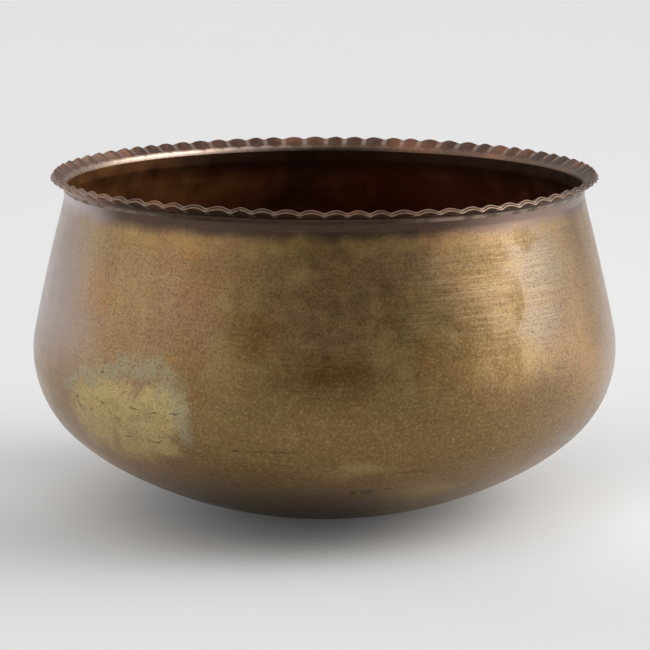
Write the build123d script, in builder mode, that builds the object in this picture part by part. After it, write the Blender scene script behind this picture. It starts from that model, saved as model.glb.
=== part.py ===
from build123d import *
import os
from math import cos, radians, sin

# A brass planter pot: a spun lower bowl and a spun shoulder brazed edge to edge at the
# belly, with a neck that carries a fluted lip of two crimped strips.
# Millimetres and degrees, +Z up. The origin is the centre of the flat underside.

os.makedirs("parts", exist_ok=True)

# Driving dimensions
belly_radius = 150.0       # widest outside radius, at the belly seam
wall = 1.2                 # sheet of the bowl and the shoulder

# The outside wall as tangent arcs, (radius, sweep); a minus sweep turns outward.
foot_knuckle = (15.0, 12.3)
dish_arc = (212.0, 18.1)
bilge_arc = (110.0, 13.1)
lower_belly_arc = (56.7, 46.5)
upper_belly_arc = (56.7, 11.7)
shoulder_arc = (1150.0, 3.4)
neck_hollow = (4.0, -15.1)
neck_land = 4.9            # height of the short upright neck

# Belly seam
seam_half_angle = 0.2      # half the brazed gap, about the centre of the belly arc
bead_half_angle = 2.6      # half the bead inside the seam
bead_height = 1.0          # how far the bead stands into the bowl

# Fluted lip
strip = 1.0                # sheet of each of the two strips
strip_film = 0.05          # solder film between the two strips
lip_bend_radius = 2.5      # to the outside of the inner strip
lip_flare = 55.0           # lean of the lip out from upright
lip_straight = 6.35        # flared length beyond the bend
flute_count = 78
flute_depth = 1.0          # wave of the lip's edge, each way from its mean
sections_per_flute = 4
strip_gap = 1.0            # between a strip's two ends
joint_reach = 30.0         # square that takes in the whole section of the lip
outer_strip_joint = 253.2  # bearing of the outer strip's ends, from +X
inner_strip_joint = 219.7  # bearing of the inner strip's ends, from +X
neck_bead_leg = 2.0        # height of the bead under the lip


def arc_rise(radius, start, sweep):
    """Radial and upward travel of an arc that starts at this heading from level."""
    turn = radius if sweep > 0 else -radius
    end = radians(start + sweep)
    across = turn * (sin(end) - sin(radians(start)))
    up = turn * (cos(radians(start)) - cos(end))
    return across, up


def travel(arcs, heading):
    """Total radial and upward travel along a chain of tangent arcs."""
    across = 0.0
    up = 0.0
    for radius, sweep in arcs:
        step = arc_rise(radius, heading, sweep)
        across += step[0]
        up += step[1]
        heading += sweep
    return across, up


def draw_arcs(start, heading, arcs, inset):
    """Add tangent arcs to the current line, set inwards from the outside wall."""
    point = Vector(*start)
    for radius, sweep in arcs:
        tangent = (cos(radians(heading)), sin(radians(heading)))
        true_radius = radius - inset if sweep > 0 else radius + inset
        piece = JernArc(start=point, tangent=tangent, radius=true_radius, arc_size=sweep)
        point = piece @ 1
        heading += sweep
    return point


def on_belly_arc(radius, angle):
    """Point at this radius and angle about the centre of the belly arc."""
    centre_r = belly_radius - lower_belly_arc[0]
    return (centre_r + radius * cos(radians(angle)), belly_height + radius * sin(radians(angle)))


lower_arcs = [
    foot_knuckle,
    dish_arc,
    bilge_arc,
    (lower_belly_arc[0], lower_belly_arc[1] - seam_half_angle),
]
upper_arcs = [
    (upper_belly_arc[0], upper_belly_arc[1] - seam_half_angle),
    shoulder_arc,
    neck_hollow,
]
whole_lower = [foot_knuckle, dish_arc, bilge_arc, lower_belly_arc]
lower_travel = travel(whole_lower, 0.0)
foot_radius = belly_radius - lower_travel[0]
belly_height = lower_travel[1]

seam_start = on_belly_arc(lower_belly_arc[0], seam_half_angle)
upper_travel = travel(upper_arcs, 90.0 + seam_half_angle)
neck_radius = seam_start[0] + upper_travel[0]
neck_top = seam_start[1] + upper_travel[1] + neck_land
mouth_radius = neck_radius - wall
lip_root_radius = mouth_radius + strip

# Lower bowl: a round dish with a small flat to stand on
with BuildPart() as lower_bowl:
    with BuildSketch(Plane.XZ):
        with BuildLine():
            Line((0, 0), (foot_radius, 0))
            outside = draw_arcs((foot_radius, 0), 0.0, lower_arcs, 0.0)
            Line((0, wall), (foot_radius, wall))
            inside = draw_arcs((foot_radius, wall), 0.0, lower_arcs, wall)
            Line(outside, inside)
            Line((0, 0), (0, wall))
        make_face()
    revolve(axis=Axis.Z)

# Shoulder: from the belly seam up to the upright neck
with BuildPart() as shoulder_shell:
    with BuildSketch(Plane.XZ):
        with BuildLine():
            inner_start = on_belly_arc(lower_belly_arc[0] - wall, seam_half_angle)
            seam_heading = 90.0 + seam_half_angle
            outside = draw_arcs(seam_start, seam_heading, upper_arcs, 0.0)
            inside = draw_arcs(inner_start, seam_heading, upper_arcs, wall)
            Line(outside, (outside.X, neck_top))
            Line((outside.X, neck_top), (inside.X, neck_top))
            Line((inside.X, neck_top), inside)
            Line(seam_start, inner_start)
        make_face()
    revolve(axis=Axis.Z)

# Braze in the belly seam, with a low bead inside the pot
with BuildPart() as belly_braze_ring:
    with BuildSketch(Plane.XZ):
        with BuildLine():
            centre = on_belly_arc(0.0, 0.0)
            outer_r = lower_belly_arc[0]
            inner_r = outer_r - wall
            bead_arc = bead_half_angle - seam_half_angle
            CenterArc(centre, outer_r, -seam_half_angle, 2 * seam_half_angle)
            CenterArc(centre, inner_r, seam_half_angle, bead_arc)
            CenterArc(centre, inner_r, -bead_half_angle, bead_arc)
            for side in (-seam_half_angle, seam_half_angle):
                Line(on_belly_arc(inner_r, side), on_belly_arc(outer_r, side))
            ThreePointArc(
                on_belly_arc(inner_r, -bead_half_angle),
                on_belly_arc(inner_r - bead_height, 0.0),
                on_belly_arc(inner_r, bead_half_angle),
            )
        make_face()
    revolve(axis=Axis.Z)

# Braze under the lip, in the corner between the neck and the outer strip
with BuildPart() as neck_braze_ring:
    with BuildSketch(Plane.XZ):
        with BuildLine():
            strip_outside = lip_root_radius + strip_film + strip
            Line((neck_radius, neck_top), (strip_outside, neck_top))
            Line((neck_radius, neck_top), (neck_radius, neck_top - neck_bead_leg))
            Line((strip_outside, neck_top), (neck_radius, neck_top - neck_bead_leg))
        make_face()
    revolve(axis=Axis.Z)


def radial_plane(bearing):
    """Upright plane through the pot's axis: X points outward, Y points up."""
    angle = radians(bearing)
    return Plane(
        origin=(0, 0, 0),
        x_dir=(cos(angle), sin(angle), 0),
        z_dir=(sin(angle), -cos(angle), 0),
    )


def draw_lip_side(offset, wave):
    """Root, bend and flared length of one face of a strip, and its two end points."""
    flare = radians(lip_flare)
    centre = (lip_root_radius + lip_bend_radius, neck_top)
    radius = lip_bend_radius - offset
    root = (lip_root_radius + offset, neck_top)
    bend_end = (centre[0] - radius * cos(flare), centre[1] + radius * sin(flare))
    edge = (
        bend_end[0] + lip_straight * sin(flare) + wave * cos(flare),
        bend_end[1] + lip_straight * cos(flare) - wave * sin(flare),
    )
    CenterArc(centre, radius, 180.0 - lip_flare, lip_flare)
    Line(bend_end, edge)
    return root, edge


def draw_strip_outline(bearing, inner_offset):
    """Outline of a strip where it crosses the upright plane at this bearing."""
    wave = flute_depth * cos(radians(bearing) * flute_count)
    inner_root, inner_edge = draw_lip_side(inner_offset, wave)
    outer_root, outer_edge = draw_lip_side(inner_offset + strip, wave)
    Line(inner_root, outer_root)
    Line(inner_edge, outer_edge)


pieces = {
    "lower_bowl": lower_bowl,
    "shoulder_shell": shoulder_shell,
    "belly_braze_ring": belly_braze_ring,
    "neck_braze_ring": neck_braze_ring,
}

# The two crimped strips of the lip. Each is bent once round with its ends a gap apart,
# and a drop of braze fills that gap.
flute_bearings = [
    360.0 / flute_count * number / sections_per_flute
    for number in range(sections_per_flute + 1)
]
strips = {
    "outer": (strip_film, outer_strip_joint),
    "inner": (-strip, inner_strip_joint),
}
for side, (inner_offset, joint) in strips.items():
    with BuildPart() as flute:
        for bearing in flute_bearings:
            with BuildSketch(radial_plane(bearing)):
                with BuildLine():
                    draw_strip_outline(bearing, inner_offset)
                make_face()
        loft()

    with BuildPart() as closed_strip:
        with PolarLocations(0, flute_count):
            add(flute.part)

    with BuildPart() as rim_strip:
        add(closed_strip.part)
        with BuildSketch(radial_plane(joint)):
            with Locations((lip_root_radius, neck_top)):
                Rectangle(joint_reach, joint_reach)
        extrude(amount=strip_gap / 2, both=True, mode=Mode.SUBTRACT)
    pieces[f"rim_strip_{side}"] = rim_strip

    with BuildPart() as strip_end_braze:
        add(closed_strip.part)
        with BuildSketch(radial_plane(joint)):
            with Locations((lip_root_radius, neck_top)):
                Rectangle(joint_reach, joint_reach)
        extrude(amount=strip_gap / 2, both=True, mode=Mode.INTERSECT)
    pieces[f"{side}_strip_end_braze"] = strip_end_braze

for name, piece in pieces.items():
    piece.part.label = name
    export_step(piece.part, f"parts/{name}.step")
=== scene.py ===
import math
import random

import bmesh
import bpy
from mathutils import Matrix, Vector, noise


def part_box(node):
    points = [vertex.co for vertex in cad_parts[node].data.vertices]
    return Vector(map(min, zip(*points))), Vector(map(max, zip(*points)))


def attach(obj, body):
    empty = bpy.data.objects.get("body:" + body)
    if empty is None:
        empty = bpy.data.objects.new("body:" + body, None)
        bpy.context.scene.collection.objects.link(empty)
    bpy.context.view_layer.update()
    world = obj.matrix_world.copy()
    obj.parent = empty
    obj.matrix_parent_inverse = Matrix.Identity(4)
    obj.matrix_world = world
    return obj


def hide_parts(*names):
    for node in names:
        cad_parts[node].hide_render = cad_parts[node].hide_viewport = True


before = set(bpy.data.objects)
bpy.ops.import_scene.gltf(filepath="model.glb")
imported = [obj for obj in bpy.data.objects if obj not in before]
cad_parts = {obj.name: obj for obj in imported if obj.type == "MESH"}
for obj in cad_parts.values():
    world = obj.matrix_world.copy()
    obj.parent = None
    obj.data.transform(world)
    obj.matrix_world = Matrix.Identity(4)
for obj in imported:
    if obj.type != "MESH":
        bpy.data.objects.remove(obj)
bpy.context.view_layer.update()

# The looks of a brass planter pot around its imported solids. Metres and radians, +Z up,
# origin at the centre of the underside, front of the pot towards -Y.
# A bearing is measured from the front, towards +X.

MM = 0.001
FULL_TURN = 2.0 * math.pi

# Sheet and spun profile, as (radius, sweep in degrees) of tangent arcs from the foot up
WALL = 1.2 * MM
LOWER_ARCS = ((15.0 * MM, 12.3), (212.0 * MM, 18.1), (110.0 * MM, 13.1), (56.7 * MM, 46.5))
UPPER_ARCS = ((56.7 * MM, 11.7), (1150.0 * MM, 3.4), (4.0 * MM, -15.1))
SEAM_HALF_ANGLE = math.radians(0.2)
BEAD_HALF_ANGLE = math.radians(2.6)
BEAD_HEIGHT = 1.0 * MM
PROFILE_STEP = 1.8 * MM
FOOT_STEPS = 8
SPIN_SEGMENTS = 384
SHARP_ANGLE = math.radians(32.0)

# Hand work on the wall, as (depth, how closely it repeats round the pot)
OVAL = (0.30 * MM, 0.9)
WAVES = (0.14 * MM, 3.4)
DENTS = (0.10 * MM, 8.0)
TRUE_FOOT = 30.0 * MM
TRUE_NECK = 14.0 * MM

# Fluted lip
STRIP = 1.0 * MM
STRIP_FILM = 0.05 * MM
LIP_BEND_RADIUS = 2.5 * MM
LIP_FLARE = math.radians(55.0)
LIP_STRAIGHT = 6.35 * MM
FLUTE_COUNT = 78
FLUTE_DEPTH = (0.66 * MM, 0.97 * MM)  # shallowest and deepest, each way from the mean
FLUTE_CREASE = 0.2
FLUTE_WIDTH_SPREAD = 0.13
FLUTE_LEAN_SPREAD = 0.5
FLUTE_LEAN_SHIFT = 0.3
FLUTE_SEED = 41
COLUMNS_PER_FLUTE = 20
# Where the lip sags, as (bearing and spread in degrees, drop of its edge)
LIP_DROOPS = ((36.0, 26.0, 1.9 * MM), (2.0, 28.0, 0.8 * MM))
# How the offset grows along the lip, as powers of the share of its length
WAVE_POWER = 1.2
DROOP_POWER = 1.1
LIFT_POWER = 2
EDGE_ROUNDING = 0.32 * MM
EDGE_WEAR = 0.22 * MM
FACE_STEPS = 11
CORNER_STEPS = 3
STRIP_GAP = 1.0 * MM
LIFT_LENGTH = 6.0 * MM
OUTER_STRIP_JOINT = 253.2
INNER_STRIP_JOINT = 219.7
OUTER_END_LIFT = -0.35 * MM
INNER_END_LIFT = 0.25 * MM
END_DROP_STEPS = 8
END_DROP_CROWN = 0.10 * MM
BEAD_SEGMENTS = 720
BEAD_STEPS = 5
BEAD_OVERLAP = 0.3 * MM
SEAM_BEAD_STEPS = 6
SEAM_BEAD_OVERLAP = 0.05 * MM

BELLY_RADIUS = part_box("lower_bowl")[1][0]
NECK_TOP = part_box("shoulder_shell")[1][2]


# ---------------------------------------------------------------- profile of the pot

def arc_chain(start, heading, arcs, inset=0.0):
    """Points along tangent arcs, set inwards from the outside wall by inset."""
    points = [start]
    for radius, sweep in arcs:
        radius += -inset if sweep > 0 else inset
        turn = math.copysign(radius, sweep)
        sweep = math.radians(sweep)
        x, z = points[-1]
        count = max(2, math.ceil(radius * abs(sweep) / PROFILE_STEP))
        for number in range(1, count + 1):
            end = heading + sweep * number / count
            across = turn * (math.sin(end) - math.sin(heading))
            up = turn * (math.cos(heading) - math.cos(end))
            points.append((x + across, z + up))
        heading += sweep
    return points


def trimmed(arcs, place):
    """The same arcs, with the one beside the seam shortened by half the seam."""
    arcs = list(arcs)
    radius, sweep = arcs[place]
    arcs[place] = (radius, sweep - math.degrees(SEAM_HALF_ANGLE))
    return arcs


whole_lower = arc_chain((0.0, 0.0), 0.0, LOWER_ARCS)
FOOT_RADIUS = BELLY_RADIUS - whole_lower[-1][0]
BELLY_HEIGHT = whole_lower[-1][1]
BELLY_ARC_RADIUS = LOWER_ARCS[-1][0]


def on_belly_arc(radius, angle):
    """Radius and height of a point about the centre of the belly arc."""
    centre = BELLY_RADIUS - BELLY_ARC_RADIUS
    return (centre + radius * math.cos(angle), BELLY_HEIGHT + radius * math.sin(angle))


def bowl_sides():
    """Outside and inside of the lower bowl, each from the axis to the seam."""
    arcs = trimmed(LOWER_ARCS, -1)
    sides = []
    for inset in (0.0, WALL):
        flat = [(FOOT_RADIUS * number / FOOT_STEPS, inset) for number in range(FOOT_STEPS)]
        sides.append(flat + arc_chain((FOOT_RADIUS, inset), 0.0, arcs, inset))
    return sides


def shoulder_sides():
    """Outside and inside of the shoulder, each from the seam to the top of the neck."""
    arcs = trimmed(UPPER_ARCS, 0)
    heading = math.radians(90.0) + SEAM_HALF_ANGLE
    sides = []
    for inset in (0.0, WALL):
        start = on_belly_arc(BELLY_ARC_RADIUS - inset, SEAM_HALF_ANGLE)
        side = arc_chain(start, heading, arcs, inset)
        sides.append(side + [(side[-1][0], NECK_TOP)])
    return sides


def lengths_along(points, start=0.0):
    """Distance along a line at each of its points."""
    total = [start]
    for before, after in zip(points, points[1:]):
        total.append(total[-1] + math.dist(before, after))
    return total


BOWL_OUTSIDE, BOWL_INSIDE = bowl_sides()
SHOULDER_OUTSIDE, SHOULDER_INSIDE = shoulder_sides()
BOWL_ALONG = lengths_along(BOWL_OUTSIDE)[-1]
NECK_ALONG = lengths_along(SHOULDER_OUTSIDE, BOWL_ALONG)[-1]
NECK_RADIUS = SHOULDER_OUTSIDE[-1][0]
MOUTH_RADIUS = SHOULDER_INSIDE[-1][0]
LIP_ROOT_RADIUS = MOUTH_RADIUS + STRIP


def around(radius, bearing, height):
    """Point at this bearing from the front."""
    return Vector((radius * math.sin(bearing), -radius * math.cos(bearing), height))


def even_bearings(count):
    """Bearings spaced evenly once round."""
    return [FULL_TURN * number / count for number in range(count)]


def on_wall(bearing_degrees, height):
    """Point on the outside wall at this bearing and height."""
    wall = BOWL_OUTSIDE + SHOULDER_OUTSIDE
    for (low_r, low_z), (high_r, high_z) in zip(wall, wall[1:]):
        if low_z < height <= high_z:
            share = (height - low_z) / (high_z - low_z)
            radius = low_r + share * (high_r - low_r)
            return around(radius, math.radians(bearing_degrees), height)
    return around(NECK_RADIUS, math.radians(bearing_degrees), height)


def lumps(spot, rate, shift=(0.0, 0.0, 0.0)):
    """Smooth noise from 0 to 1 at a place."""
    return 0.5 + 0.5 * noise.noise(spot * rate + Vector(shift))


def hand_worked(bearing, height):
    """How far the wall lies inside its true round here: slow waves and shallow dents."""
    spot = around(1.0, bearing, height / BELLY_RADIUS)
    oval = OVAL[0] * lumps(spot, OVAL[1], (3.1, 0.0, 0.0))
    wave = WAVES[0] * lumps(spot, WAVES[1], (0.0, 7.7, 0.0))
    dent = DENTS[0] * max(0.0, noise.noise(spot * DENTS[1] + Vector((0.0, 0.0, 5.3))))
    above_foot = min(1.0, height / TRUE_FOOT)
    below_neck = min(1.0, max(0.0, NECK_TOP - height) / TRUE_NECK)
    return (oval + wave + dent) * above_foot * below_neck


# ---------------------------------------------------------------- meshes

def finish_mesh(name, points, faces, materials):
    """A smooth-shaded object from points and faces, with sharp edges kept sharp."""
    mesh = bpy.data.meshes.new(name)
    mesh.from_pydata(points, [], faces)
    mesh.validate()
    for material in materials:
        mesh.materials.append(material)
    mesh.polygons.foreach_set("use_smooth", [True] * len(mesh.polygons))
    mesh.set_sharp_from_angle(angle=SHARP_ANGLE)
    piece = bpy.data.objects.new(name, mesh)
    bpy.context.scene.collection.objects.link(piece)
    return piece


def set_values(piece, name, values):
    """Store one number for each point, for the materials to read."""
    layer = piece.data.attributes.new(name, "FLOAT", "POINT")
    layer.data.foreach_set("value", values)


def turn_outwards(piece):
    """Make every face of a closed piece look outwards."""
    work = bmesh.new()
    work.from_mesh(piece.data)
    bmesh.ops.recalc_face_normals(work, faces=work.faces)
    work.to_mesh(piece.data)
    work.free()


def spin_rows(loop, along):
    """Turn each point of a loop into a ring, or into one point if it's on the axis."""
    points, values, rows = [], [], []
    for (radius, height), length in zip(loop, along):
        start = len(points)
        if radius == 0.0:
            points.append((0.0, 0.0, height))
            values.append(length)
            rows.append([start] * SPIN_SEGMENTS)
            continue
        for bearing in even_bearings(SPIN_SEGMENTS):
            points.append(around(radius - hand_worked(bearing, height), bearing, height))
            values.append(length)
        rows.append(list(range(start, len(points))))
    return points, values, rows


def join_rows(pairs):
    """Faces between each pair of rings, as triangles where one of them is a point."""
    faces = []
    for low, high in pairs:
        for number in range(SPIN_SEGMENTS):
            after = (number + 1) % SPIN_SEGMENTS
            ring = (low[number], low[after], high[after], high[number])
            faces.append(tuple(dict.fromkeys(ring)))
    return faces


def spun_sheet(name, outside, inside, along_start, skins):
    """Spin one sheet of metal: outside and inside faces, joined at both ends."""
    loop = outside + inside[::-1]
    along = lengths_along(outside, along_start)
    along += lengths_along(inside, along_start)[::-1]
    points, values, rows = spin_rows(loop, along)
    pairs = list(zip(rows, rows[1:]))
    starts_at_axis = loop[0][0] == 0.0
    if not starts_at_axis:
        pairs.append((rows[-1], rows[0]))
    piece = finish_mesh(name, points, join_rows(pairs), skins)
    outside_faces = (len(outside) - 1) * SPIN_SEGMENTS
    inside_faces = (len(pairs) - len(outside) + 1) * SPIN_SEGMENTS
    skin_of_face = [0] * outside_faces + [1] * inside_faces
    piece.data.polygons.foreach_set("material_index", skin_of_face)
    set_values(piece, "along", values)
    turn_outwards(piece)
    return piece


def swept_faces(size, count, closed):
    """Faces between count copies of a section of this size, with ends if it's open."""
    faces = []
    for number in range(count if closed else count - 1):
        here = number * size
        there = ((number + 1) % count) * size
        for place in range(size):
            after = (place + 1) % size
            faces.append((here + place, here + after, there + after, there + place))
    if not closed:
        last = (count - 1) * size
        faces.append(tuple(range(size)))
        faces.append(tuple(last + place for place in range(size)))
    return faces


def swept_ring(name, section_at, bearings, closed, materials, values_at=None):
    """Join a section's copies at many bearings. section_at gives (radius, height) points.

    values_at gives, for each attribute's name, one number for each point of the section.
    """
    points, values = [], {}
    for bearing in bearings:
        section = section_at(bearing)
        for radius, height in section:
            points.append(around(radius, bearing, height))
        if values_at:
            for key, numbers in values_at(bearing).items():
                values.setdefault(key, []).extend(numbers)
    faces = swept_faces(len(section), len(bearings), closed)
    piece = finish_mesh(name, points, faces, materials)
    for key, numbers in values.items():
        set_values(piece, key, numbers)
    turn_outwards(piece)
    return piece


# ---------------------------------------------------------------- the fluted lip

def flute_layout():
    """Uneven hand-crimped flutes: where each one starts, how deep it is, how it leans."""
    dice = random.Random(FLUTE_SEED)
    spread = FLUTE_WIDTH_SPREAD
    widths = [1.0 + dice.uniform(-spread, spread) for _ in range(FLUTE_COUNT)]
    unit = FULL_TURN / sum(widths)
    starts = [0.0]
    for width in widths:
        starts.append(starts[-1] + width * unit)
    depths = [dice.uniform(*FLUTE_DEPTH) for _ in range(FLUTE_COUNT)]
    spread = FLUTE_LEAN_SPREAD
    leans = [dice.uniform(-spread, spread) for _ in range(FLUTE_COUNT)]
    return starts, depths, leans


FLUTE_STARTS, FLUTE_DEPTHS, FLUTE_LEANS = flute_layout()


def flute_wave(bearing):
    """Offset of the lip here. Its creases are narrow and its humps are wide.

    Gives the offset at the free edge, plus being out and down, and 1 on a hump or 0 in
    a crease.
    """
    bearing %= FULL_TURN
    number = 0
    while number < FLUTE_COUNT - 1 and FLUTE_STARTS[number + 1] <= bearing:
        number += 1
    start, end = FLUTE_STARTS[number], FLUTE_STARTS[number + 1]
    turn = (bearing - start) / (end - start)
    before = (FLUTE_DEPTHS[number - 1] + FLUTE_DEPTHS[number]) / 2
    after = (FLUTE_DEPTHS[(number + 1) % FLUTE_COUNT] + FLUTE_DEPTHS[number]) / 2
    depth = before + (after - before) * turn
    lean = FLUTE_LEANS[number] * math.sin(math.pi * turn) ** 2
    swell = math.sin(math.pi * turn + FLUTE_LEAN_SHIFT * lean)
    top = math.hypot(1.0, FLUTE_CREASE) - FLUTE_CREASE
    hump = (math.hypot(swell, FLUTE_CREASE) - FLUTE_CREASE) / top
    return depth * (1.0 - 2.0 * hump), hump


def lip_droop(bearing):
    """How far the lip's free edge is bent down past its true flare at this bearing."""
    total = 0.0
    for middle, spread, amount in LIP_DROOPS:
        away = math.remainder(bearing - math.radians(middle), FULL_TURN)
        total += amount * math.exp(-((away / math.radians(spread)) ** 2))
    return total


LIP_BEND_LENGTH = LIP_BEND_RADIUS * LIP_FLARE
LIP_LENGTH = LIP_BEND_LENGTH + LIP_STRAIGHT
WAVE_START = 0.45 * LIP_BEND_LENGTH


def lip_point(bearing, reach, offset, lift):
    """Radius and height of a point of the lip.

    reach is the distance from the lip's root, and offset the depth from the face
    where the two strips meet, plus being out and down. lift is how far a strip's end
    stands out of line.
    """
    angle = min(reach, LIP_BEND_LENGTH) / LIP_BEND_RADIUS
    straight = max(0.0, reach - LIP_BEND_LENGTH)
    share = (reach - WAVE_START) / (LIP_LENGTH - WAVE_START)
    share = max(0.0, share)
    offset += flute_wave(bearing)[0] * share ** WAVE_POWER + lift * share ** LIFT_POWER
    offset += lip_droop(bearing) * share ** DROOP_POWER
    radius = LIP_ROOT_RADIUS + LIP_BEND_RADIUS
    radius -= (LIP_BEND_RADIUS - offset) * math.cos(angle)
    height = NECK_TOP + (LIP_BEND_RADIUS - offset) * math.sin(angle)
    radius += straight * math.sin(angle)
    height += straight * math.cos(angle)
    return radius, height


def ply_outline(low, high):
    """A strip's section as (reach, offset) points: two faces and a filed, rounded edge."""
    straight = LIP_LENGTH - EDGE_ROUNDING
    reaches = [straight * number / FACE_STEPS for number in range(FACE_STEPS + 1)]
    corner = []
    for number in range(1, CORNER_STEPS + 1):
        angle = math.radians(90.0) * number / CORNER_STEPS
        ahead = EDGE_ROUNDING * math.sin(angle)
        inward = EDGE_ROUNDING * (1.0 - math.cos(angle))
        corner.append((straight + ahead, inward))
    outline = [(reach, low) for reach in reaches]
    outline += [(reach, low + inward) for reach, inward in corner]
    outline += [(reach, high - inward) for reach, inward in reversed(corner)]
    outline += [(reach, high) for reach in reversed(reaches)]
    return outline


def edge_share(reach):
    """1 at the free edge of the lip, 0 at its root."""
    return reach / LIP_LENGTH


def worn_edge(bearing):
    """How far the free edge is filed back here, as a length."""
    return EDGE_WEAR * lumps(around(1.0, bearing, 0.0), 9.0, (2.0, 4.0, 6.0))


def strip_values(outline):
    """What the lip's material reads at each point of a strip, as a function of bearing."""
    def values(bearing):
        hump = flute_wave(bearing)[1]
        return {
            "edge": [edge_share(reach) for reach, _ in outline],
            "hump": [hump] * len(outline),
            "depth": [offset / STRIP for _, offset in outline],
        }

    return values


def crimped_strip(name, low, high, joint_degrees, end_lift, material):
    """One strip of the lip, bent once round, with its two ends a gap apart."""
    joint = math.radians(joint_degrees + 90.0)
    half_gap = 0.5 * STRIP_GAP / LIP_ROOT_RADIUS
    columns = FLUTE_COUNT * COLUMNS_PER_FLUTE
    sweep = FULL_TURN - 2.0 * half_gap
    bearings = [joint + half_gap + sweep * number / columns for number in range(columns + 1)]
    outline = ply_outline(low, high)
    lift_reach = LIFT_LENGTH / LIP_ROOT_RADIUS

    def section(bearing):
        past_joint = (bearing - joint) / lift_reach
        lift = end_lift * math.exp(-past_joint)
        cut = worn_edge(bearing)
        return [
            lip_point(bearing, reach - cut * edge_share(reach) ** 4, offset, lift)
            for reach, offset in outline
        ]

    return swept_ring(name, section, bearings, False, [material], strip_values(outline))


def end_braze(name, low, high, joint_degrees, end_lift, material):
    """The drop of braze between a strip's two ends, a little fuller than the strip."""
    joint = math.radians(joint_degrees + 90.0)
    half_gap = 0.5 * STRIP_GAP / LIP_ROOT_RADIUS
    steps = END_DROP_STEPS
    bearings = [joint + half_gap * (2.0 * number / steps - 1.0) for number in range(steps + 1)]
    outline = ply_outline(low, high)
    middle = (low + high) / 2

    def section(bearing):
        across = (bearing - joint) / half_gap
        crown = END_DROP_CROWN * math.sqrt(max(0.0, 1.0 - across * across))
        lift = end_lift * (0.5 + 0.5 * across)
        cut = worn_edge(bearing)
        return [
            lip_point(bearing, reach - cut, offset + math.copysign(crown, offset - middle), lift)
            for reach, offset in outline
        ]

    return swept_ring(name, section, bearings, False, [material], strip_values(outline))


def neck_bead(name, material):
    """Lumpy fillet of braze in the corner between the neck and the outer strip."""
    leg = NECK_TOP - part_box("neck_braze_ring")[0][2]
    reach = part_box("neck_braze_ring")[1][0] - NECK_RADIUS
    root = NECK_RADIUS - BEAD_OVERLAP

    def section(bearing):
        spot = around(1.0, bearing, 0.0)
        drop = leg * (0.80 + 0.14 * lumps(spot, 26.0) + 0.05 * lumps(spot, 90.0))
        face = []
        for number in range(BEAD_STEPS + 1):
            share = number / BEAD_STEPS
            hollow = 0.10 * math.sin(math.pi * share)
            out = reach * (1.0 - share) * (0.97 - hollow)
            down = drop * share * (1.0 - hollow)
            face.append((NECK_RADIUS + out, NECK_TOP - down))
        return [(root, NECK_TOP)] + face + [(root, NECK_TOP - drop)]

    return swept_ring(name, section, even_bearings(BEAD_SEGMENTS), True, [material])


def belly_bead(name, material, skin):
    """Braze in the belly seam: filed flush outside, a low lumpy bead inside."""
    inner = BELLY_ARC_RADIUS - WALL
    seam = [
        on_belly_arc(inner, -SEAM_HALF_ANGLE),
        on_belly_arc(BELLY_ARC_RADIUS, -SEAM_HALF_ANGLE),
        on_belly_arc(BELLY_ARC_RADIUS, SEAM_HALF_ANGLE),
        on_belly_arc(inner, SEAM_HALF_ANGLE),
    ]

    def section(bearing):
        lump = lumps(around(1.0, bearing, 0.3), 22.0, (5.0, 1.0, 0.0))
        height = BEAD_HEIGHT * (0.62 + 0.36 * lump)
        inset = hand_worked(bearing, BELLY_HEIGHT)
        bead = []
        for number in range(SEAM_BEAD_STEPS + 1):
            share = number / SEAM_BEAD_STEPS
            angle = BEAD_HALF_ANGLE * (0.95 - 1.9 * share)
            crown = height * math.sin(math.pi * share)
            bead.append(on_belly_arc(inner + SEAM_BEAD_OVERLAP - crown, angle))
        return [(radius - inset, level) for radius, level in seam + bead]

    def values(_):
        return {"along": [BOWL_ALONG] * (len(seam) + SEAM_BEAD_STEPS + 1)}

    bearings = even_bearings(SPIN_SEGMENTS)
    ring = swept_ring(name, section, bearings, True, [material, skin], values)
    for face in ring.data.polygons:
        radius = math.hypot(face.center.x, face.center.y)
        if radius > BELLY_RADIUS - 0.5 * WALL and abs(face.normal.z) < 0.5:
            face.material_index = 1
    return ring


# ---------------------------------------------------------------- materials

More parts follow.
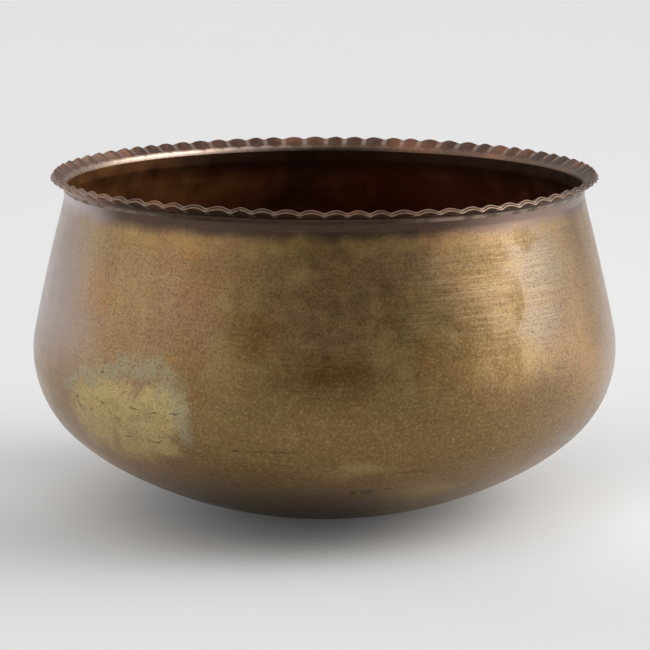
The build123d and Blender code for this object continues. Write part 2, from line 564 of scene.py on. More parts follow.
class Graph:
    """One material's node tree, with short calls for the nodes that repeat.

    x, y and z are metres from the pot's axis and its underside.
    """

    def __init__(self, name):
        self.material = bpy.data.materials.new(name)
        self.material.use_nodes = True
        self.tree = self.material.node_tree
        self.shader = self.tree.nodes["Principled BSDF"]
        self.place = self.node("ShaderNodeTexCoord").outputs["Object"]
        self.x, self.y, self.z = self.node("ShaderNodeSeparateXYZ", {0: self.place}).outputs

    def node(self, kind, inputs=None, **settings):
        """Add a node. Each input is a number, a colour or another node's output."""
        node = self.tree.nodes.new(kind)
        for key, value in settings.items():
            setattr(node, key, value)
        for key, value in (inputs or {}).items():
            self.feed(node.inputs[key], value)
        return node

    def feed(self, socket, value):
        """Link an output to an input, or set the input's own value."""
        if isinstance(value, bpy.types.NodeSocket):
            self.tree.links.new(value, socket)
        else:
            socket.default_value = value

    def sum(self, kind, first, second=0.0, third=0.0):
        """A maths node of this kind."""
        inputs = {0: first, 1: second, 2: third}
        return self.node("ShaderNodeMath", inputs, operation=kind).outputs[0]

    def times(self, first, second):
        """The product of two values."""
        return self.sum("MULTIPLY", first, second)

    def remap(self, value, low, high, to_low=0.0, to_high=1.0):
        """Ease a value from one range to another, and hold it at both ends."""
        inputs = {
            "Value": value,
            "From Min": low,
            "From Max": high,
            "To Min": to_low,
            "To Max": to_high,
        }
        kind = "SMOOTHSTEP"
        return self.node("ShaderNodeMapRange", inputs, interpolation_type=kind).outputs[0]

    def mix(self, share, first, second):
        """Blend two colours."""
        inputs = {0: share, 6: first, 7: second}
        return self.node("ShaderNodeMix", inputs, data_type="RGBA").outputs[2]

    def attribute(self, name):
        """A number stored at each point of the mesh."""
        return self.node("ShaderNodeAttribute", attribute_name=name).outputs["Fac"]

    def grain(self, around_rate, along_rate, seed, detail=4.0, roughness=0.55):
        """Noise from 0 to 1, with its own rates round the pot and up its wall, per metre."""
        rates = (around_rate, around_rate, along_rate)
        inputs = {0: self.place, 1: rates, 2: (seed, 0.37 * seed, 1.71 * seed)}
        spread = self.node("ShaderNodeVectorMath", inputs, operation="MULTIPLY_ADD").outputs[0]
        inputs = {"Vector": spread, "Scale": 1.0, "Detail": detail, "Roughness": roughness}
        return self.node("ShaderNodeTexNoise", inputs).outputs["Fac"]

    def wobbled(self, rate, amount):
        """The place of each point, shifted a little by noise."""
        inputs = {"Vector": self.place, "Scale": rate, "Detail": 3.0}
        shift = self.node("ShaderNodeTexNoise", inputs).outputs["Color"]
        inputs = {0: shift, 1: (0.5, 0.5, 0.5)}
        shift = self.node("ShaderNodeVectorMath", inputs, operation="SUBTRACT").outputs[0]
        inputs = {0: shift, 1: (amount, amount, amount), 2: self.place}
        return self.node("ShaderNodeVectorMath", inputs, operation="MULTIPLY_ADD").outputs[0]

    def patch(self, place, bearing, height, half_width, half_height, softness=0.6):
        """A mark on the wall, from 1 at its centre to 0 outside. Sizes in millimetres."""
        centre = on_wall(bearing, height * MM)
        inputs = {0: place, 1: tuple(centre)}
        away = self.node("ShaderNodeVectorMath", inputs, operation="SUBTRACT").outputs[0]
        size = (half_width * MM, half_width * MM, half_height * MM)
        inputs = {0: away, 1: size}
        away = self.node("ShaderNodeVectorMath", inputs, operation="DIVIDE").outputs[0]
        inputs = {0: away}
        far = self.node("ShaderNodeVectorMath", inputs, operation="LENGTH").outputs["Value"]
        return self.remap(far, 1.0, 1.0 - softness)

    def bump(self, height, strength, distance, normal=None):
        """Fine relief, laid over an earlier one if there is one."""
        inputs = {"Height": height, "Strength": strength, "Distance": distance}
        if normal:
            inputs["Normal"] = normal
        return self.node("ShaderNodeBump", inputs).outputs["Normal"]

    def finish(self, inputs):
        """Feed the shader's inputs, and give the finished material."""
        for key, value in inputs.items():
            self.feed(self.shader.inputs[key], value)
        return self.material


def colour(red, green, blue):
    """An opaque colour."""
    return (red, green, blue, 1.0)


WHITE = colour(1.0, 1.0, 1.0)
SOOT_AND_SHADE = colour(0.045, 0.027, 0.017)

# The outside wall: its patina, its patches, its surface marks, and its painted light and shade
OLIVE = colour(0.270, 0.165, 0.048)
MOSS = colour(0.250, 0.170, 0.054)
UMBER = colour(0.150, 0.078, 0.028)
STRAW = colour(0.450, 0.315, 0.122)
GOLD = colour(0.560, 0.445, 0.280)
MAUVE_PATINA_AND_SHEEN = colour(0.330, 0.200, 0.125)
ROSE_SHEEN = colour(0.350, 0.255, 0.190)
RUST = colour(0.330, 0.150, 0.060)
EMBER = colour(0.205, 0.098, 0.024)
SHADED = colour(0.070, 0.043, 0.036)
BARK = colour(0.168, 0.098, 0.036)
SUNSET = colour(0.600, 0.360, 0.170)
TAUPE = colour(0.330, 0.260, 0.200)
LILAC_SHEEN = colour(0.520, 0.440, 0.430)
PINK_SHEEN = colour(0.560, 0.440, 0.370)
HEAT_RIGHT_LIT = colour(0.260, 0.180, 0.155)
VERDIGRIS = colour(0.385, 0.365, 0.235)
POLISHED = colour(0.700, 0.560, 0.240)
AMBER = colour(0.430, 0.205, 0.060)
AMBER_GOLD = colour(0.430, 0.270, 0.095)
SCORED = colour(0.095, 0.040, 0.020)
FOOT_SHADE = colour(0.075, 0.044, 0.018)

# Marks on the wall: bearing in degrees, height, half width and half height in millimetres
VERDIGRIS_PATCHES = (
    (-56.0, 79.0, 17.0, 9.0),
    (-50.0, 83.0, 17.0, 9.0),
    (-44.0, 88.0, 20.0, 10.0),
    (-39.0, 92.0, 21.0, 11.0),
    (-34.0, 93.0, 16.0, 13.0),
    (-30.5, 87.0, 12.0, 16.0),
    (-28.0, 77.0, 11.0, 22.0),
    (-26.5, 64.0, 10.0, 17.0),
)
POLISHED_PATCHES = (
    (-44.0, 64.0, 50.0, 32.0),
    (-32.0, 72.0, 22.0, 20.0),
    (-39.0, 53.0, 34.0, 12.0),
)
FADED_PATCHES = (
    (23.0, 29.0, 38.0, 15.0),
    (7.0, 45.0, 34.0, 10.0),
)
TAUPE_PATCHES = (
    (48.0, 138.0, 40.0, 30.0),
    (47.0, 112.0, 30.0, 22.0),
)
BARK_PATCHES = (
    (29.0, 110.0, 26.0, 30.0),
    (36.0, 98.0, 20.0, 24.0),
    (33.0, 146.0, 24.0, 15.0),
    (13.0, 128.0, 14.0, 30.0),
    (40.0, 122.0, 8.0, 24.0),
    (46.0, 151.0, 16.0, 10.0),
    (15.0, 72.0, 26.0, 18.0),
)
EMBER_PATCHES = (
    (2.0, 88.0, 46.0, 24.0),
    (-14.0, 112.0, 26.0, 22.0),
)
AMBER_PATCHES = (
    (-29.0, 97.0, 8.0, 5.0),
    (68.0, 130.0, 9.0, 40.0),
    (62.0, 92.0, 20.0, 22.0),
    (-52.0, 124.0, 24.0, 22.0),
    (-28.0, 148.0, 12.0, 10.0),
)
MOSS_PATCHES = (
    (-5.0, 150.0, 34.0, 14.0),
    (29.0, 146.0, 22.0, 18.0),
    (30.0, 104.0, 14.0, 34.0),
    (37.0, 92.0, 12.0, 14.0),
    (-14.0, 72.0, 20.0, 14.0),
    (12.0, 62.0, 26.0, 12.0),
)
# Where the lathe lines show painted glints most.
SHINE_PATCHES = ((40.0, 130.0, 62.0, 46.0), (20.0, 128.0, 34.0, 36.0))
PITS = (
    (-45.8, 87.0, 1.6, 1.2),
    (-46.1, 71.5, 2.2, 0.7),
    (-54.2, 71.6, 1.6, 1.0),
    (-53.7, 67.2, 1.6, 0.8),
    (-50.0, 66.8, 2.4, 0.7),
    (-37.7, 71.7, 4.4, 0.6),
    (-33.2, 71.0, 2.6, 0.6),
    (-29.0, 71.9, 4.0, 0.7),
    (-41.0, 56.0, 3.6, 0.6),
    (-17.0, 55.6, 3.0, 0.7),
    (6.4, 31.1, 2.4, 2.6),
    (9.8, 31.5, 4.6, 1.6),
    (14.5, 33.0, 3.0, 1.2),
)
SCRATCHES = (
    (-10.2, 55.7, 25.0, 0.6),
    (-34.6, 55.6, 6.0, 0.6),
    (17.5, 43.5, 18.0, 0.7),
)


def all_patches(graph, place, patches, softness):
    """The strongest of several marks at each point."""
    total = 0.0
    for patch in patches:
        mark = graph.patch(place, *patch, softness=softness)
        total = graph.sum("MAXIMUM", mark, total)
    return total


# Noise on the outside wall: its rate round the pot and up the wall, seed, detail, roughness
WALL_NOISES = {
    "cloud": (11.0, 13.0, 3.0, 3.0),
    "hue": (19.0, 15.0, 67.0, 3.0),
    "warmth": (24.0, 22.0, 71.0, 4.0),
    "wipes": (38.0, 7.0, 43.0, 4.0),
    "ragged": (60.0, 60.0, 53.0, 4.0),
    "mottle": (105.0, 125.0, 11.0, 7.0, 0.68),
    "crust": (430.0, 480.0, 19.0, 4.0, 0.7),
    "grit": (760.0, 850.0, 29.0, 3.0, 0.62),
    "speckle": (1050.0, 1200.0, 23.0, 2.0, 0.6),
    "lathe": (32.0, 1900.0, 31.0, 3.0, 0.6),
    "fine_lathe": (50.0, 2600.0, 37.0, 2.0, 0.5),
}
# Large patches in the order they're laid on, with their colour and strength
LARGE_PATCHES = (
    (EMBER_PATCHES, EMBER, 0.75),
    (MOSS_PATCHES, MOSS, 0.50),
    (TAUPE_PATCHES, TAUPE, 0.85),
    (BARK_PATCHES, BARK, 0.75),
)
# Fine grain in the order it's laid on: noise, where it starts and is full, strength,
# colour, and the part of the wall that shows it most
GRAIN_LAYERS = (
    ("mottle", 0.50, 0.74, 0.26, STRAW, "all"),
    ("mottle", 0.50, 0.28, 0.22, UMBER, "all"),
    ("crust", 0.52, 0.68, 0.36, RUST, "bowl"),
    ("crust", 0.46, 0.32, 0.26, STRAW, "bowl"),
    ("grit", 0.50, 0.66, 0.40, STRAW, "all"),
    ("grit", 0.50, 0.34, 0.50, UMBER, "all"),
    # Partly painted glints: gold and dark lathe lines, strongest in the shine patches.
    ("lathe", 0.50, 0.66, 0.22, GOLD, "brushed_glint"),
    ("lathe", 0.50, 0.34, 0.30, UMBER, "brushed_glint"),
    ("fine_lathe", 0.50, 0.70, 0.18, GOLD, "brushed_glint"),
    ("speckle", 0.42, 0.28, 0.60, SOOT_AND_SHADE, "all"),
)


def frayed(graph, wall, patches, softness=0.9):
    """Patches whose edges break up into the grain of the surface."""
    spread = all_patches(graph, wall["soft_place"], patches, softness)
    spread = graph.sum("MULTIPLY_ADD", wall["uneven"], 1.1, spread)
    return graph.remap(spread, 0.08, 0.98)


def patina(graph, wall):
    """Broad colour: olive in front, mauve at the left, rose at the right, with clouds. The
    lighter mauve left and rose right are partly painted reflections of the side lights.
    """
    front = graph.remap(graph.sum("ABSOLUTE", graph.x), 0.095, 0.030)
    left = graph.remap(graph.x, -0.03, -0.14)
    right = graph.remap(graph.x, 0.04, 0.14)
    ground = graph.mix(graph.remap(wall["cloud"], 0.36, 0.66), OLIVE, MAUVE_PATINA_AND_SHEEN)
    ground = graph.mix(graph.remap(wall["hue"], 0.48, 0.64, 0.0, 0.50), ground, MOSS)
    ground = graph.mix(graph.remap(wall["hue"], 0.50, 0.34, 0.0, 0.55), ground, RUST)
    ground = graph.mix(graph.times(front, 0.45), ground, OLIVE)
    # Partly painted reflection: the sides turn mauve and rose where they face the side lights.
    ground = graph.mix(graph.times(left, 0.55), ground, MAUVE_PATINA_AND_SHEEN)
    ground = graph.mix(graph.times(right, 0.55), ground, ROSE_SHEEN)
    ground = graph.mix(graph.remap(wall["warmth"], 0.50, 0.70, 0.0, 0.45), ground, RUST)
    return graph.mix(graph.remap(wall["wipes"], 0.48, 0.68, 0.0, 0.45), ground, STRAW)


def large_patches(graph, wall, ground):
    """The large patches, and the darker bowl right of the polished patch."""
    for patches, shade, strength in LARGE_PATCHES:
        mark = frayed(graph, wall, patches)
        ground = graph.mix(graph.times(mark, strength), ground, shade)
    underside = graph.remap(graph.z, 0.100, 0.074)
    underside = graph.times(underside, graph.remap(graph.x, -0.09, -0.04))
    return graph.mix(graph.times(underside, 0.70), ground, BARK)


def worn_patches(graph, wall, ground, polished, verdigris):
    """Amber stains, faded places, and the polished patch inside its verdigris arch."""
    amber = frayed(graph, wall, AMBER_PATCHES)
    faded = frayed(graph, wall, FADED_PATCHES, 1.0)
    ground = graph.mix(graph.times(amber, 0.60), ground, AMBER)
    ground = graph.mix(graph.times(faded, 0.55), ground, STRAW)
    ground = graph.mix(graph.times(polished, 0.74), ground, POLISHED)
    return graph.mix(verdigris, ground, VERDIGRIS)


def right_edge_tints(graph, wall, ground):
    """Warm and then pink towards the right edge; the pink at the very edge is a painted
    reflection.
    """
    sunset = graph.sum("MULTIPLY_ADD", wall["uneven"], 0.05, graph.x)
    sunset = graph.times(graph.remap(sunset, 0.110, 0.134), graph.remap(graph.z, 0.045, 0.080))
    ground = graph.mix(graph.times(sunset, 0.72), ground, SUNSET)
    # Painted reflection: pink along the very edge, where the wall turns away.
    return graph.mix(graph.remap(graph.x, 0.132, 0.147, 0.0, 0.60), ground, PINK_SHEEN)


def fine_grain(graph, wall, ground):
    """Mottle, crust, grit and lathe lines over the patina; the gold and dark lathe lines are
    partly painted glints in the shine patches.
    """
    shine = all_patches(graph, wall["soft_place"], SHINE_PATCHES, 0.8)
    parts = {
        "bowl": graph.remap(graph.z, 0.115, 0.060, 0.45, 1.0),
        "brushed_glint": graph.remap(shine, 0.0, 1.0, 0.30, 1.0),
    }
    for name, start, full, strength, shade, part in GRAIN_LAYERS:
        share = graph.remap(wall[name], start, full, 0.0, strength)
        if part in parts:
            share = graph.times(share, parts[part])
        ground = graph.mix(share, ground, shade)
    return ground


def neck_heat_and_shade(graph, wall, ground):
    """The dark band under the lip, partly heat tint and partly painted shade, lit lilac at its
    left and lighter at its right as painted light, and the amber halo below it.
    """
    ragged = graph.sum("MULTIPLY_ADD", wall["ragged"], 0.010, graph.attribute("along"))
    halo_low = graph.remap(ragged, NECK_ALONG - 0.014, NECK_ALONG - 0.009)
    halo_high = graph.remap(ragged, NECK_ALONG - 0.002, NECK_ALONG - 0.006)
    halo = graph.times(halo_low, halo_high)
    halo = graph.times(halo, graph.remap(wall["mottle"], 0.40, 0.60, 0.15, 0.55))
    halo = graph.times(halo, graph.remap(graph.x, 0.080, 0.035, 0.25, 1.0))
    halo = graph.times(halo, graph.remap(graph.x, -0.110, -0.060, 0.30, 1.0))
    ground = graph.mix(halo, ground, AMBER_GOLD)
    # Painted shade under the lip over the heat tint: shaded in front, painted light in lilac at
    # the left and lighter at the right.
    heat_and_shade = graph.remap(ragged, NECK_ALONG - 0.007, NECK_ALONG + 0.001)
    shade = graph.mix(graph.remap(graph.x, -0.095, -0.128), SHADED, LILAC_SHEEN)
    shade = graph.mix(graph.remap(graph.x, 0.050, 0.105), shade, HEAT_RIGHT_LIT)
    return graph.mix(graph.times(heat_and_shade, 0.90), ground, shade)


def edge_sheen_and_foot_shade(graph, ground):
    """The pale lilac left edge, a painted reflection of the left light, and the brown foot,
    painted shade towards the floor.
    """
    # Painted reflection of the left light along the left edge.
    edge = graph.times(graph.remap(graph.x, -0.100, -0.144), graph.remap(graph.z, 0.070, 0.110))
    ground = graph.mix(graph.times(edge, 0.72), ground, LILAC_SHEEN)
    # Painted shade: the foot darkens towards the floor, less on the lit right.
    foot = graph.remap(graph.z, 0.040, 0.012)
    foot = graph.times(foot, graph.remap(graph.x, 0.010, 0.045, 1.0, 0.20))
    return graph.mix(graph.times(foot, 0.85), ground, FOOT_SHADE)


def outside_brass():
    """Aged brass: olive to straw patina over lathe lines, a heat band, wear and pits, with
    painted shade under the lip and at the foot and painted reflections at the sides.
    """
    graph = Graph("aged_brass_outside")
    wall = {name: graph.grain(*values) for name, values in WALL_NOISES.items()}
    wall["uneven"] = graph.sum("SUBTRACT", wall["crust"], 0.5)
    wall["soft_place"] = graph.wobbled(60.0, 0.018)
    mottle = wall["mottle"]
    polished = frayed(graph, wall, POLISHED_PATCHES, 0.7)
    polished = graph.times(polished, graph.remap(mottle, 0.30, 0.60, 0.65, 1.0))
    verdigris = frayed(graph, wall, VERDIGRIS_PATCHES, 1.0)
    verdigris = graph.times(verdigris, graph.remap(mottle, 0.66, 0.40, 0.30, 0.78))

    ground = patina(graph, wall)
    ground = large_patches(graph, wall, ground)
    ground = worn_patches(graph, wall, ground, polished, verdigris)
    ground = right_edge_tints(graph, wall, ground)
    ground = fine_grain(graph, wall, ground)
    ground = neck_heat_and_shade(graph, wall, ground)
    ground = edge_sheen_and_foot_shade(graph, ground)
    fine_place = graph.wobbled(420.0, 0.0026)
    pits = all_patches(graph, fine_place, PITS, 0.6)
    scratches = all_patches(graph, fine_place, SCRATCHES, 0.6)
    ground = graph.mix(graph.times(scratches, 0.55), ground, SCORED)
    ground = graph.mix(graph.times(pits, 0.70), ground, SOOT_AND_SHADE)
    marks = graph.sum("MAXIMUM", pits, graph.times(scratches, 0.5))

    roughness = graph.remap(mottle, 0.3, 0.7, 0.30, 0.42)
    roughness = graph.sum("MULTIPLY_ADD", verdigris, 0.16, roughness)
    roughness = graph.sum("MULTIPLY_ADD", polished, -0.05, roughness)
    metallic = graph.sum("MULTIPLY_ADD", verdigris, -0.40, 0.95)
    relief = graph.bump(wall["lathe"], 0.26, 0.00002)
    relief = graph.bump(wall["crust"], 0.26, 0.00005, relief)
    relief = graph.bump(wall["grit"], 0.26, 0.00003, relief)
    relief = graph.bump(graph.times(marks, -1.0), 0.5, 0.0001, relief)
    tangent = graph.node("ShaderNodeTangent", direction_type="RADIAL", axis="Z").outputs[0]
    return graph.finish({
        "Base Color": ground,
        "Roughness": roughness,
        "Metallic": metallic,
        "Anisotropic": 0.75,
        "Anisotropic Rotation": 0.25,
        "Tangent": tangent,
        "Coat Weight": 0.10,
        "Coat Roughness": 0.20,
        "Normal": relief,
    })


INSIDE_DARK = colour(0.070, 0.024, 0.014)
INSIDE_AMBER_AND_LIGHT = colour(0.340, 0.135, 0.042)
INSIDE_BROWN = colour(0.140, 0.052, 0.026)
INSIDE_NECK_SHADE = colour(0.046, 0.022, 0.013)


def inside_brass():
    """The inside: dark red-brown tarnish, more orange where it is thin, with painted light
    towards the left and a painted shade band under the lip.
    """
    graph = Graph("aged_brass_inside")
    along = graph.attribute("along")
    cloud = graph.grain(12.0, 14.0, 5.0, 4.0)
    mottle = graph.grain(70.0, 90.0, 9.0, 5.0, 0.6)
    lathe = graph.grain(6.0, 900.0, 15.0, 3.0)
    ground = graph.mix(graph.remap(cloud, 0.40, 0.62), INSIDE_DARK, INSIDE_BROWN)
    # Painted light: the inside turns amber towards the left.
    left = graph.remap(graph.x, 0.01, -0.10)
    ground = graph.mix(graph.times(left, 0.9), ground, INSIDE_AMBER_AND_LIGHT)
    ground = graph.mix(graph.remap(mottle, 0.5, 0.75, 0.0, 0.30), ground, INSIDE_AMBER_AND_LIGHT)
    ground = graph.mix(graph.remap(mottle, 0.5, 0.25, 0.0, 0.40), ground, INSIDE_DARK)
    # Painted shade: a dark band inside, just under the lip, lighter towards the left.
    neck = graph.remap(along, NECK_ALONG - 0.016, NECK_ALONG - 0.005)
    neck = graph.times(neck, graph.remap(graph.x, -0.125, -0.060, 0.30, 1.0))
    ground = graph.mix(graph.times(neck, 0.92), ground, INSIDE_NECK_SHADE)
    roughness = graph.remap(mottle, 0.3, 0.7, 0.40, 0.60)
    lines = graph.bump(lathe, 0.3, 0.00004)
    lines = graph.bump(mottle, 0.25, 0.0001, lines)
    return graph.finish({
        "Base Color": ground,
        "Roughness": roughness,
        "Metallic": 0.92,
        "Normal": lines,
    })


LIP_BROWN = colour(0.085, 0.042, 0.026)
LIP_COPPER = colour(0.210, 0.085, 0.048)
LIP_HIGHLIGHT = colour(0.560, 0.420, 0.330)
LIP_ROSE_LIT = colour(0.360, 0.195, 0.130)
LIP_GREY = colour(0.230, 0.180, 0.160)
LIP_EDGE_WEAR_AND_GLINT = colour(0.300, 0.215, 0.150)


def lip_ground(graph, mottle):
    """Dark brown to copper, rosier at the far left as painted light."""
    cloud = graph.grain(30.0, 30.0, 7.0, 3.0)
    ground = graph.mix(graph.remap(cloud, 0.46, 0.64), LIP_BROWN, LIP_COPPER)
    # Painted light: rosier at the far left.
    ground = graph.mix(graph.remap(graph.x, -0.095, -0.125, 0.0, 0.75), ground, LIP_ROSE_LIT)
    ground = graph.mix(graph.remap(mottle, 0.54, 0.74, 0.0, 0.5), ground, LIP_GREY)
    return graph.mix(graph.remap(mottle, 0.48, 0.30, 0.0, 0.6), ground, LIP_BROWN)


def lip_wear(graph, uneven, ground):
    """Painted highlights in the creases and throat, painted shade tucked under the flutes, and a
    worn free edge with a painted highlight on its corners.
    """
    edge = graph.attribute("edge")
    hump = graph.attribute("hump")
    depth = graph.attribute("depth")
    # Painted highlight: pale creases, as if catching light from above.
    crease = graph.remap(graph.sum("MULTIPLY_ADD", uneven, 0.45, hump), 0.42, 0.05)
    crease = graph.times(crease, graph.remap(edge, 0.20, 0.55))
    crease = graph.times(crease, graph.remap(edge, 1.0, 0.90, 0.45, 1.0))
    ground = graph.mix(graph.times(crease, 0.48), ground, LIP_HIGHLIGHT)
    # Painted highlight on the throat, brightest at the left.
    throat = graph.sum("MULTIPLY_ADD", uneven, 0.26, edge)
    throat = graph.sum("MULTIPLY_ADD", hump, 0.14, throat)
    lit = graph.remap(graph.x, 0.01, -0.06, 0.12, 0.85)
    lit = graph.times(lit, graph.remap(depth, -0.55, -0.90))
    throat = graph.times(graph.remap(throat, 0.44, 0.24), lit)
    ground = graph.mix(throat, ground, LIP_HIGHLIGHT)
    # Painted shade under the flutes near the root, lighter at the far left.
    under_flute_shade = graph.times(graph.remap(depth, 0.3, 0.8), graph.remap(edge, 0.55, 0.30))
    under_flute_shade = graph.times(under_flute_shade, graph.remap(graph.x, -0.125, -0.070, 0.20, 1.0))
    ground = graph.mix(graph.times(under_flute_shade, 0.80), ground, SOOT_AND_SHADE)
    # The free edge: partly wear, partly a painted highlight on the corners of each ply.
    edge_wear_and_glint = graph.sum("MULTIPLY_ADD", uneven, 0.05, edge)
    exposed = graph.remap(graph.sum("ABSOLUTE", depth), 0.55, 0.85, 0.10, 1.0)
    edge_wear_and_glint = graph.times(graph.remap(edge_wear_and_glint, 0.935, 0.965), exposed)
    return graph.mix(graph.times(edge_wear_and_glint, 0.85), ground, LIP_EDGE_WEAR_AND_GLINT)


def lip_brass():
    """The crimped strips: dark brown humps, painted highlights in the creases, and wear with a
    painted highlight along the edge.
    """
    graph = Graph("rim_brass_crimped")
    mottle = graph.grain(240.0, 240.0, 13.0, 5.0, 0.62)
    fine = graph.grain(900.0, 900.0, 17.0, 2.0, 0.6)
    uneven = graph.sum("SUBTRACT", mottle, 0.5)
    ground = lip_wear(graph, uneven, lip_ground(graph, mottle))
    ground = graph.mix(graph.remap(fine, 0.46, 0.32, 0.0, 0.35), ground, SOOT_AND_SHADE)
    roughness = graph.remap(mottle, 0.3, 0.7, 0.24, 0.42)
    relief = graph.bump(mottle, 0.30, 0.00010)
    relief = graph.bump(fine, 0.25, 0.00003, relief)
    return graph.finish({
        "Base Color": ground,
        "Roughness": roughness,
        "Metallic": 0.95,
        "Coat Weight": 0.20,
        "Coat Roughness": 0.25,
        "Normal": relief,
    })


BRAZE_PALE_LIT = colour(0.360, 0.270, 0.200)
BRAZE_FLUX_AND_SHADE = colour(0.045, 0.027, 0.020)


def braze_metal():
    """Filed braze: dull pale metal with dark flux in its hollows, painted dark as shade in front
    and pale as painted light at the sides.
    """
    graph = Graph("braze_filed")
    lump = graph.grain(160.0, 160.0, 19.0, 4.0)
    fine = graph.grain(1100.0, 1100.0, 29.0, 3.0)
    # Painted light and shade: the braze is pale at the lit sides and dark in the shade in front.
    side_light = graph.remap(graph.x, 0.030, 0.070, 0.04, 0.90)
    side_light = graph.sum("MAXIMUM", side_light, graph.remap(graph.x, -0.050, -0.110, 0.0, 0.70))
    pale = graph.times(graph.remap(lump, 0.34, 0.60, 0.35, 1.0), side_light)
    ground = graph.mix(pale, BRAZE_FLUX_AND_SHADE, BRAZE_PALE_LIT)
    ground = graph.mix(graph.remap(fine, 0.58, 0.78, 0.0, 0.5), ground, SOOT_AND_SHADE)
    roughness = graph.remap(lump, 0.3, 0.7, 0.52, 0.36)
    lines = graph.bump(lump, 0.35, 0.00012)
    lines = graph.bump(fine, 0.3, 0.00004, lines)
    return graph.finish({
        "Base Color": ground,
        "Roughness": roughness,
        "Metallic": 0.92,
        "Normal": lines,
    })


PAPER_NEAR_SHADE = colour(0.738, 0.738, 0.738)
PAPER_DULL = colour(0.780, 0.780, 0.780)
PAPER_PALE = colour(0.810, 0.810, 0.808)


def floor_paper():
    """Plain pale studio paper with a trace of tone, painted shade towards the camera, and a
    faint glow of painted fill light.
    """
    graph = Graph("studio_paper")
    tone = graph.grain(0.8, 0.8, 2.0, 2.0)
    far = graph.mix(tone, PAPER_DULL, PAPER_PALE)
    # Painted shade: the paper is darker towards the camera.
    ground = graph.mix(graph.remap(graph.y, -0.40, 0.60), PAPER_NEAR_SHADE, far)
    return graph.finish({
        "Base Color": ground,
        "Roughness": 0.85,
        # Painted fill light: a faint glow of the paper itself.
        "Emission Color": WHITE,
        "Emission Strength": 0.030,
    })


# ---------------------------------------------------------------- build the pieces

outside = outside_brass()
inside = inside_brass()
lip = lip_brass()
braze = braze_metal()

bowl = spun_sheet("lower_bowl_sheet", BOWL_OUTSIDE, BOWL_INSIDE, 0.0, [outside, inside])
shoulder = spun_sheet(
    "shoulder_sheet", SHOULDER_OUTSIDE, SHOULDER_INSIDE, BOWL_ALONG, [outside, inside]
)
belly_braze = belly_bead("belly_braze_bead", braze, outside)
neck_braze = neck_bead("neck_braze_bead", braze)

OUTER_PLY = (STRIP_FILM, STRIP_FILM + STRIP)
INNER_PLY = (-STRIP, 0.0)
outer_strip = crimped_strip(
    "rim_strip_outer_crimped", *OUTER_PLY, OUTER_STRIP_JOINT, OUTER_END_LIFT, lip
)
inner_strip = crimped_strip(
    "rim_strip_inner_crimped", *INNER_PLY, INNER_STRIP_JOINT, INNER_END_LIFT, lip
)
outer_end = end_braze(
    "outer_strip_end_drop", *OUTER_PLY, OUTER_STRIP_JOINT, OUTER_END_LIFT, braze
)
inner_end = end_braze(
    "inner_strip_end_drop", *INNER_PLY, INNER_STRIP_JOINT, INNER_END_LIFT, braze
)

for piece, node, slot in (
    (bowl, "lower_bowl", "aged_brass"),
    (shoulder, "shoulder_shell", "aged_brass"),
    (belly_braze, "belly_braze_ring", "braze"),
    (neck_braze, "neck_braze_ring", "braze"),
    (outer_strip, "rim_strip_outer", "rim_brass"),
    (inner_strip, "rim_strip_inner", "rim_brass"),
    (outer_end, "outer_strip_end_braze", "braze"),
    (inner_end, "inner_strip_end_braze", "braze"),
):
    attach(piece, "root")
    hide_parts(node)


# ---------------------------------------------------------------- floor, light, camera

FLOOR_REACH = 9.0
FILL_HEIGHT = 1.0
FILL_SOFTNESS = 0.1
POT_MIDDLE = (0.0, 0.0, 0.09)
SKY_BASE = 0.26
SKY_LEAST = 0.03
# Azimuth from the front towards +X and elevation in degrees, sharpness, added light
SKY_LOBES = (
    (0.0, 8.0, 2.0, -0.22),
    (0.0, 90.0, 3.0, 0.55),
    (-90.0, 15.0, 2.0, 0.86),
    (90.0, 5.0, 2.0, 0.20),
    (92.0, 36.0, 18.0, 5.0),
)
CAMERA_DISTANCE = 1.550
CAMERA_ELEVATION = math.radians(10.542)
CAMERA_TARGET = (0.00027, 0.0, 0.09062)
CAMERA_LENS = 166.27
SENSOR = 36.0


def add_floor():
    """A plain pale sheet, large enough to fill the background."""
    far = FLOOR_REACH
    corners = [(-far, -far, 0.0), (far, -far, 0.0), (far, far, 0.0), (-far, far, 0.0)]
    floor = finish_mesh("studio_floor", corners, [(0, 1, 2, 3)], [floor_paper()])
    return floor


def aim(thing, target):
    """Turn a light or camera, which look down their own -Z, towards a point."""
    direction = Vector(target) - thing.location
    thing.rotation_euler = direction.to_track_quat("-Z", "Y").to_euler()


def add_softbox(name, azimuth, elevation, distance, width, height, radiance):
    """A rectangular light that faces the pot. Angles in degrees, azimuth from the front."""
    elevation = math.radians(elevation)
    level = distance * math.cos(elevation)
    up = POT_MIDDLE[2] + distance * math.sin(elevation)
    light = bpy.data.lights.new(name, "AREA")
    light.shape = "RECTANGLE"
    light.size = width
    light.size_y = height
    light.energy = radiance * math.pi * width * height
    box = bpy.data.objects.new(name, light)
    box.location = around(level, math.radians(azimuth), up)
    box.visible_camera = False
    aim(box, POT_MIDDLE)
    bpy.context.scene.collection.objects.link(box)


def add_floor_fill(name, floor, spot, spread, energy):
    """A soft pool of fill light for the floor alone, as a card beside the pot gives."""
    light = bpy.data.lights.new(name, "SPOT")
    light.energy = energy
    light.spot_size = math.radians(spread)
    light.spot_blend = 1.0
    light.shadow_soft_size = FILL_SOFTNESS
    lamp = bpy.data.objects.new(name, light)
    lamp.location = (spot[0], spot[1], FILL_HEIGHT)
    lamp.visible_camera = False
    only_floor = bpy.data.collections.new(name)
    only_floor.objects.link(floor)
    lamp.light_linking.receiver_collection = only_floor
    lamp.light_linking.blocker_collection = only_floor
    aim(lamp, (spot[0], spot[1], 0.0))
    bpy.context.scene.collection.objects.link(lamp)


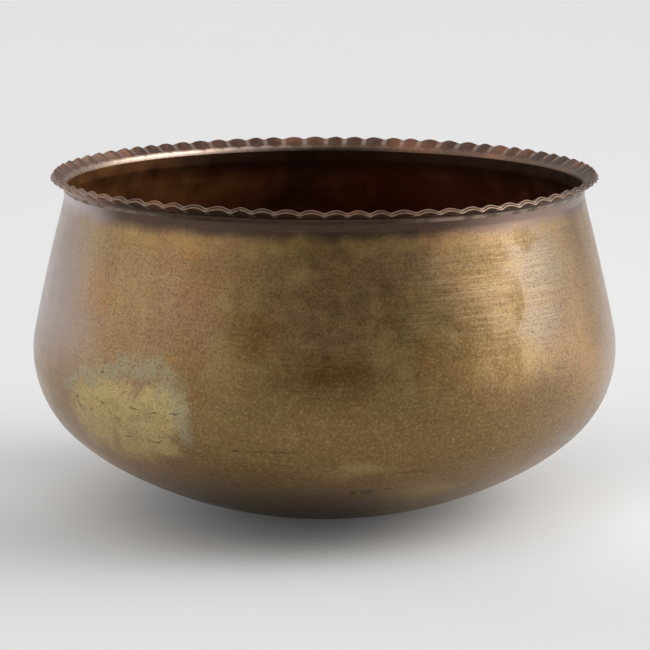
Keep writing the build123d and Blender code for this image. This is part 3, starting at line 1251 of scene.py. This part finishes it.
def tree_math(tree, kind, first, second):
    """A maths node of the sky. Its second input is a number or another node's output."""
    step = tree.nodes.new("ShaderNodeMath")
    step.operation = kind
    tree.links.new(first, step.inputs[0])
    if isinstance(second, float):
        step.inputs[1].default_value = second
    else:
        tree.links.new(second, step.inputs[1])
    return step.outputs[0]


def sky_lobe(tree, direction, azimuth, elevation, sharpness, amount):
    """Light that gathers about one direction of the sky."""
    azimuth = math.radians(azimuth)
    elevation = math.radians(elevation)
    level = math.cos(elevation)
    towards = (level * math.sin(azimuth), -level * math.cos(azimuth), math.sin(elevation))
    facing = tree.nodes.new("ShaderNodeVectorMath")
    facing.operation = "DOT_PRODUCT"
    tree.links.new(direction, facing.inputs[0])
    facing.inputs[1].default_value = towards
    light = tree_math(tree, "MAXIMUM", facing.outputs["Value"], 0.0)
    light = tree_math(tree, "POWER", light, sharpness)
    return tree_math(tree, "MULTIPLY", light, amount)


def add_sky():
    """Surrounding light of a white studio: darker behind the camera, brighter at right."""
    world = bpy.data.worlds.new("studio_light")
    bpy.context.scene.world = world
    world.use_nodes = True
    tree = world.node_tree
    direction = tree.nodes.new("ShaderNodeTexCoord").outputs["Generated"]
    total = SKY_BASE
    for lobe in SKY_LOBES:
        total = tree_math(tree, "ADD", sky_lobe(tree, direction, *lobe), total)
    total = tree_math(tree, "MAXIMUM", total, SKY_LEAST)
    background = tree.nodes["Background"]
    tree.links.new(total, background.inputs["Strength"])
    background.inputs["Color"].default_value = WHITE


def add_camera():
    """The camera, at the height and distance the pot is seen from."""
    camera = bpy.data.cameras.new("photo_angle")
    camera.lens = CAMERA_LENS
    camera.sensor_width = SENSOR
    camera.clip_start = 0.05
    camera.clip_end = 40.0
    view = bpy.data.objects.new("photo_angle", camera)
    back = CAMERA_DISTANCE * math.cos(CAMERA_ELEVATION)
    up = CAMERA_DISTANCE * math.sin(CAMERA_ELEVATION)
    view.location = (CAMERA_TARGET[0], CAMERA_TARGET[1] - back, CAMERA_TARGET[2] + up)
    aim(view, CAMERA_TARGET)
    bpy.context.scene.collection.objects.link(view)
    bpy.context.scene.camera = view


studio_floor = add_floor()
add_sky()
add_floor_fill(
    "floor_fill_right", studio_floor, spot=(0.170, -0.055), spread=13.5, energy=17.5
)
add_floor_fill(
    "floor_fill_left", studio_floor, spot=(-0.180, 0.010), spread=14.0, energy=9.5
)
add_softbox(
    "key_right", azimuth=90.0, elevation=24.0, distance=1.3, width=1.7, height=1.2, radiance=0.62
)
add_camera()
bpy.context.scene.view_settings.view_transform = "Standard"
